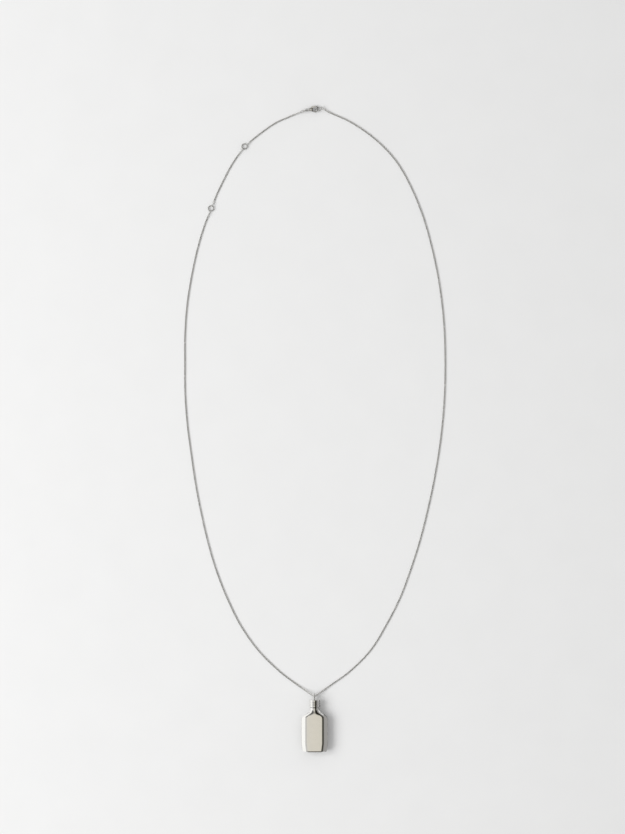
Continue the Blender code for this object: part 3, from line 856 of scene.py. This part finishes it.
def claw_section(inner, outer):
    """The claw's section: thick at the opening, with its top and bottom sloping away outwards."""
    middle, half = (inner + outer) / 2, (outer - inner) / 2
    section = []
    for step in range(28):
        angle = step / 28 * math.tau
        across = squarish(math.cos(angle), 0.4)
        up = squarish(math.sin(angle), 0.5)
        section.append((middle + half * across, up * (CLAW_HALF_THICKNESS - CLAW_SLOPE * across)))
    return section


def claw():
    """The hook, from its nose round the opening and into the shank."""
    rings = []
    steps = 72
    for step in range(steps + 1):
        share = step / steps
        angle = CLAW_NOSE_ANGLE - CLAW_SWEEP * share
        inner = float(np.interp(angle, (21, 41, 53, 70), (CLAW_INNER, 1.80, 1.85, 1.90)))
        outer = float(np.interp(angle, (-122, 71), (CLAW_OUTER, CLAW_NOSE_OUTER)))
        turn = math.radians(angle)
        rings.append([
            in_clasp(radius * math.cos(turn), radius * math.sin(turn), z)
            for radius, z in claw_section(inner, outer)
        ])
    return skin(rings, False)


SHANK_STATIONS = [
    # x, lower edge, upper edge, half thickness
    (-1.50, -1.72, 1.28, 0.62),
    (-1.75, -1.62, 1.36, 0.84),
    (-2.10, -1.50, 1.44, 0.95),
    (-2.60, -1.34, 1.50, 0.95),
    (-3.10, -1.20, 1.46, 0.94),
    (-3.60, -1.08, 1.30, 0.92),
    (-4.10, -0.97, 1.06, 0.86),
    (-4.60, -0.84, 0.84, 0.76),
    (-5.00, -0.62, 0.62, 0.50),
]


def shank():
    """The body between the hook and the eye, a cast bar with full rounded sides."""
    table = np.array(SHANK_STATIONS)
    rings = []
    for x in np.linspace(table[0, 0], table[-1, 0], 36):
        low, high, half = (
            float(np.interp(np.linspace(-ease, ease, 13) - x, -table[:, 0], table[:, k]).mean())
            for k, ease in ((1, 0.45), (2, 0.45), (3, 0.2))
        )
        ring = []
        for step in range(40):
            angle = step / 40 * math.tau
            across = squarish(math.cos(angle), 0.5)
            up = squarish(math.sin(angle), 0.5)
            ring.append(in_clasp(x, (low + high) / 2 + (high - low) / 2 * across, half * up))
        rings.append(ring)
    return skin(rings, False)


def eye():
    """The flattened ring at the clasp's end that the jump ring goes through."""
    rings = []
    for step in range(48):
        turn = step / 48 * math.tau
        ring = []
        for k in range(16):
            angle = k / 16 * math.tau
            radius = EYE_RADIUS + EYE_HALF_WIDTH * math.cos(angle)
            z = EYE_HALF_THICKNESS * squarish(math.sin(angle), 0.8)
            ring.append(in_clasp(EYE_X + radius * math.cos(turn), radius * math.sin(turn), z))
        rings.append(ring)
    return skin(rings, True)


def block(low, high):
    """A box between two corners, to cut with."""
    corners = itertools.product(*zip(low, high))
    faces = [(0, 1, 3, 2), (4, 6, 7, 5), (0, 4, 5, 1), (2, 3, 7, 6), (0, 2, 6, 4), (1, 5, 7, 3)]
    return [in_clasp(*corner) for corner in corners], faces


def drilled(x, y, radius, half, along_x=False):
    """A round bar to cut with, reaching half its length each way, upright or along the clasp."""
    rings = []
    for z in (-half, half):
        ring = []
        for k in range(32):
            angle = k / 32 * math.tau
            a, b = radius * math.cos(angle), radius * math.sin(angle)
            ring.append(in_clasp(x + z, y + a, b) if along_x else in_clasp(x + a, y + b, z))
        rings.append(ring)
    return skin(rings, False)


def joined_mesh(name, solids):
    """One mesh of several closed shapes, with every face turned outwards."""
    bm = bmesh.new()
    for vertices, faces in solids:
        made = [bm.verts.new(Vector(v) * MM) for v in vertices]
        new_faces = [bm.faces.new([made[i] for i in face]) for face in faces]
        bmesh.ops.recalc_face_normals(bm, faces=new_faces)
    mesh = bpy.data.meshes.new(name)
    bm.to_mesh(mesh)
    bm.free()
    return mesh


def after_modifiers(made):
    """The object's mesh as its modifiers leave it, with the modifiers gone."""
    bpy.context.view_layer.update()
    evaluated = made.evaluated_get(bpy.context.evaluated_depsgraph_get())
    mesh = bpy.data.meshes.new_from_object(evaluated)
    made.modifiers.clear()
    made.data = mesh


def cut_away(made, solid):
    """Takes a closed shape out of an object's mesh."""
    cutter = bpy.data.objects.new("cutter", joined_mesh("cutter", [solid]))
    SCENE.collection.objects.link(cutter)
    cut = made.modifiers.new("cut", "BOOLEAN")
    cut.operation = "DIFFERENCE"
    cut.solver = "EXACT"
    cut.object = cutter
    after_modifiers(made)
    bpy.data.objects.remove(cutter)


def cast_look(made):
    made.data.materials.clear()
    made.data.materials.append(SILVER_CAST)
    made.data.shade_smooth()
    made.data.set_sharp_from_angle(angle=math.radians(45))


def make_cast_body():
    """The clasp's body: hook, shank and eye run together, then slotted, drilled and pocketed."""
    made = bpy.data.objects.new("clasp_cast_body", joined_mesh("cast", [claw(), shank(), eye()]))
    SCENE.collection.objects.link(made)
    fuse = made.modifiers.new("fuse", "REMESH")
    fuse.mode = "VOXEL"
    fuse.voxel_size = 0.05 * MM
    relax = made.modifiers.new("relax", "SMOOTH")
    relax.factor = 0.5
    relax.iterations = 10
    after_modifiers(made)
    cut_away(made, block(*SLOT))
    cut_away(made, drilled(*PIVOT, PIN_HOLE, CUT_THROUGH))
    cut_away(made, drilled(*SPRING_POCKET, along_x=True))
    cast_look(made)
    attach(made, "clasp")
    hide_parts("clasp_body")


def make_lever():
    """The gate: a stamped lever with rolled edges, a thumb nub and a round hub on the pin."""
    outline = [
        *arc(0, 0, 1.5, 42, 140, 40),
        *arc(*PIVOT, 0.62, 10, -90, 18),
        (-3.5, -0.07),
        (-3.5, 0.6),
        (-3.38, 0.95),
        (-2.75, 1.42),
        (-2.35, 1.75),
        (-2.22, 2.1),
        *arc(-1.93, 2.17, 0.22, 160, 60, 8),
        *arc(0, 0, 2.25, 130, 76, 24),
        (0.66, 1.54),
        (0.98, 1.35),
        (1.19, 1.08),
    ]
    bm = bmesh.new()
    face = bm.faces.new([bm.verts.new((x, y, -LEVER_HALF_THICKNESS)) for x, y in outline])
    raised = bmesh.ops.extrude_face_region(bm, geom=[face])["geom"]
    top = [item for item in raised if isinstance(item, bmesh.types.BMVert)]
    bmesh.ops.translate(bm, verts=top, vec=(0, 0, 2 * LEVER_HALF_THICKNESS))
    flat = [edge for edge in bm.edges if abs(edge.verts[0].co.z - edge.verts[1].co.z) < 1e-6]
    bmesh.ops.bevel(bm, geom=flat, offset=LEVER_EDGE, segments=3, profile=0.5, affect="EDGES")
    bmesh.ops.recalc_face_normals(bm, faces=bm.faces)
    for vertex in bm.verts:
        vertex.co = in_clasp(*vertex.co) * MM
    mesh = bpy.data.meshes.new("clasp_cast_lever")
    bm.to_mesh(mesh)
    bm.free()
    made = bpy.data.objects.new("clasp_cast_lever", mesh)
    SCENE.collection.objects.link(made)
    cut_away(made, drilled(*PIVOT, LEVER_HOLE, CUT_THROUGH))
    cast_look(made)
    even = made.modifiers.new("even", "WEIGHTED_NORMAL")
    even.keep_sharp = True
    after_modifiers(made)
    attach(made, "lever")
    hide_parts("clasp_lever")


def make_rivet():
    """The lever's pin, with its ends peened into low domes."""
    centre = in_clasp(*PIVOT, 0)
    half = 0.95
    dome = [(half, 0.02), (half - 0.01, 0.1), (half - 0.04, 0.18), (half - 0.1, 0.235), (0.7, 0.245)]
    profile = [(-z, radius) for z, radius in dome] + dome[::-1]
    rings = []
    for z, radius in profile:
        ring = []
        for k in range(24):
            angle = k / 24 * math.tau
            ring.append(centre + Vector((radius * math.cos(angle), radius * math.sin(angle), z)))
        rings.append(ring)
    vertices, faces = skin(rings, False)
    made = build("clasp_pin", vertices, faces, SHADED_RING_SILVER, "clasp")
    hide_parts("clasp_rivet")


def make_spring():
    """A closed-end compression spring of drawn wire."""
    start, finish = SPRING_SPAN
    path = []
    steps = SPRING_TURNS * 24
    for step in range(steps + 1):
        share = step / steps
        eased = share + 0.03 * math.sin(share * math.tau)
        angle = share * SPRING_TURNS * math.tau
        y, z = SPRING_RADIUS * math.cos(angle), SPRING_RADIUS * math.sin(angle)
        path.append(in_clasp(start + (finish - start) * eased, SPRING_Y + y, z))
    along = CLASP_TURN @ Vector((1, 0, 0))
    vertices, faces = swept(path, lambda share: SPRING_WIRE_RADIUS, 10, False, along)
    made = build("spring_coil", vertices, faces, spring_steel(), "clasp")
    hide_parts("clasp_spring")


# Studio


def make_camera():
    data = bpy.data.cameras.new("camera")
    data.lens = data.sensor_width * CAMERA_DISTANCE / VIEW_HEIGHT
    data.clip_start = 0.05
    data.clip_end = 50
    camera = bpy.data.objects.new("camera", data)
    SCENE.collection.objects.link(camera)
    camera.location = Vector((*VIEW_MIDDLE, CAMERA_DISTANCE)) * MM
    SCENE.camera = camera


def make_floor():
    """A wide level board just under the necklace, in metres."""
    mesh = bpy.data.meshes.new("studio_floor")
    half = 4.0
    corners = [(-half, -half, 0), (half, -half, 0), (half, half, 0), (-half, half, 0)]
    mesh.from_pydata(corners, [], [(0, 1, 2, 3)])
    floor = bpy.data.objects.new("studio_floor", mesh)
    floor.location = (0, 0.2, -0.00002)
    SCENE.collection.objects.link(floor)
    mesh.materials.append(floor_paper())


def painted_shade_cards():
    """Dark grey cards on the board beside the pendant, which only the metal mirrors: painted shade in
    its reflections, the right one standing in for the pendant's shadow on the board.
    """
    shade_paper = painted_shade_card_material()
    for name, left, right, front, back in (
        ("painted_shadow_card_right", 7, 80, -30, 29),
        ("painted_shade_card_left", -30, -9.3, -14, 12),
    ):
        mesh = bpy.data.meshes.new(name)
        corners = [(left, front, 0), (right, front, 0), (right, back, 0), (left, back, 0)]
        mesh.from_pydata([Vector(corner) * MM for corner in corners], [], [(0, 1, 2, 3)])
        shade_card = bpy.data.objects.new(name, mesh)
        shade_card.location = (0, 0, -0.01 * MM)
        SCENE.collection.objects.link(shade_card)
        mesh.materials.append(shade_paper)
        shade_card.visible_camera = False
        shade_card.visible_diffuse = False
        shade_card.visible_shadow = False
        shade_card.visible_transmission = False


def studio_world():
    """What the metal mirrors: bright screens to the left, a beige ceiling, grey to the right.

    A dark gap stands just right of the ceiling, and there is little light low down in front.
    """
    world = bpy.data.worlds.new("studio")
    SCENE.world = world
    world.use_nodes = True
    nodes, links = world.node_tree.nodes, world.node_tree.links
    background = nodes["Background"]
    place = nodes.new("ShaderNodeTexCoord").outputs["Generated"]
    split = nodes.new("ShaderNodeSeparateXYZ")
    links.new(place, split.inputs["Vector"])
    bearing = node(nodes, "ShaderNodeMath", operation="ARCTAN2")
    links.new(split.outputs["X"], bearing.inputs[0])
    links.new(split.outputs["Z"], bearing.inputs[1])
    share = nodes.new("ShaderNodeMapRange")
    share.inputs["From Min"].default_value = -math.pi / 2
    share.inputs["From Max"].default_value = math.pi / 2
    links.new(bearing.outputs[0], share.inputs["Value"])

    def at(degrees):
        return (degrees + 90) / 180

    room = ramp(
        nodes,
        [
            (at(-88), (0.95, 0.95, 0.93)),
            (at(-58), (1.12, 1.12, 1.10)),
            (at(-50), (0.80, 0.79, 0.77)),
            (at(-36), (0.72, 0.71, 0.69)),
            (at(-20), (0.46, 0.45, 0.43)),
            (at(-7), (0.68, 0.665, 0.63)),
            (at(0), (0.70, 0.665, 0.585)),
            (at(3), (0.66, 0.63, 0.55)),
            (at(6), (0.06, 0.058, 0.045)),
            (at(38), (0.05, 0.048, 0.038)),
            (at(48), (0.30, 0.29, 0.28)),
            (at(88), (0.36, 0.355, 0.345)),
        ],
    )
    links.new(share.outputs["Result"], room.inputs["Fac"])
    height = nodes.new("ShaderNodeMapRange")
    height.inputs["From Min"].default_value = -1.0
    links.new(split.outputs["Y"], height.inputs["Value"])
    shade = ramp(
        nodes,
        [
            (0.0, grey(0.08)), (0.31, grey(0.12)), (0.40, grey(1)), (0.58, grey(1)),
            (0.64, grey(0.2)), (0.74, grey(0.2)), (0.80, grey(1)), (1.0, grey(1)),
        ],
    )
    links.new(height.outputs["Result"], shade.inputs["Fac"])
    bright_side = ramp(
        nodes, [(at(-58), grey(0)), (at(-42), grey(1)), (at(50), grey(1)), (at(62), grey(0))]
    )
    links.new(share.outputs["Result"], bright_side.inputs["Fac"])
    shaded = node(nodes, "ShaderNodeMix", data_type="RGBA", blend_type="MULTIPLY")
    links.new(bright_side.outputs["Color"], shaded.inputs["Factor"])
    links.new(room.outputs["Color"], shaded.inputs["A"])
    links.new(shade.outputs["Color"], shaded.inputs["B"])
    path = nodes.new("ShaderNodeLightPath")
    mirrored = node(nodes, "ShaderNodeMix", data_type="RGBA")
    mirrored.inputs["A"].default_value = (*grey(ROOM_LIGHT), 1)
    links.new(path.outputs["Is Glossy Ray"], mirrored.inputs["Factor"])
    links.new(shaded.outputs["Result"], mirrored.inputs["B"])
    seen = node(nodes, "ShaderNodeMix", data_type="RGBA")
    seen.inputs["B"].default_value = (*grey(0.80), 1)
    links.new(path.outputs["Is Camera Ray"], seen.inputs["Factor"])
    links.new(mirrored.outputs["Result"], seen.inputs["A"])
    links.new(seen.outputs["Result"], background.inputs["Color"])
    background.inputs["Strength"].default_value = 1.0


def make_key_light():
    """A large soft screen high on the left, which the metal does not mirror."""
    data = bpy.data.lights.new("key_left", "AREA")
    data.shape = "RECTANGLE"
    data.size, data.size_y = 1.6, 1.1
    data.energy = 25.5
    light = bpy.data.objects.new("key_left", data)
    SCENE.collection.objects.link(light)
    light.location = (-1.35, 0.05, 1.35)
    aim = Vector((0, 0.2, 0)) - light.location
    light.rotation_euler = aim.to_track_quat("-Z", "Y").to_euler()
    light.visible_glossy = False


SCENE.view_settings.view_transform = "Standard"
SCENE.view_settings.look = "None"
make_camera()
make_chain()
make_rings()
make_bail_foot()
make_flask()
make_base_plate()
make_cap()
make_seal()
make_cast_body()
make_lever()
make_rivet()
make_spring()
make_floor()
# dark cards that only the metal mirrors: painted shade in its reflections
painted_shade_cards()
studio_world()
make_key_light()
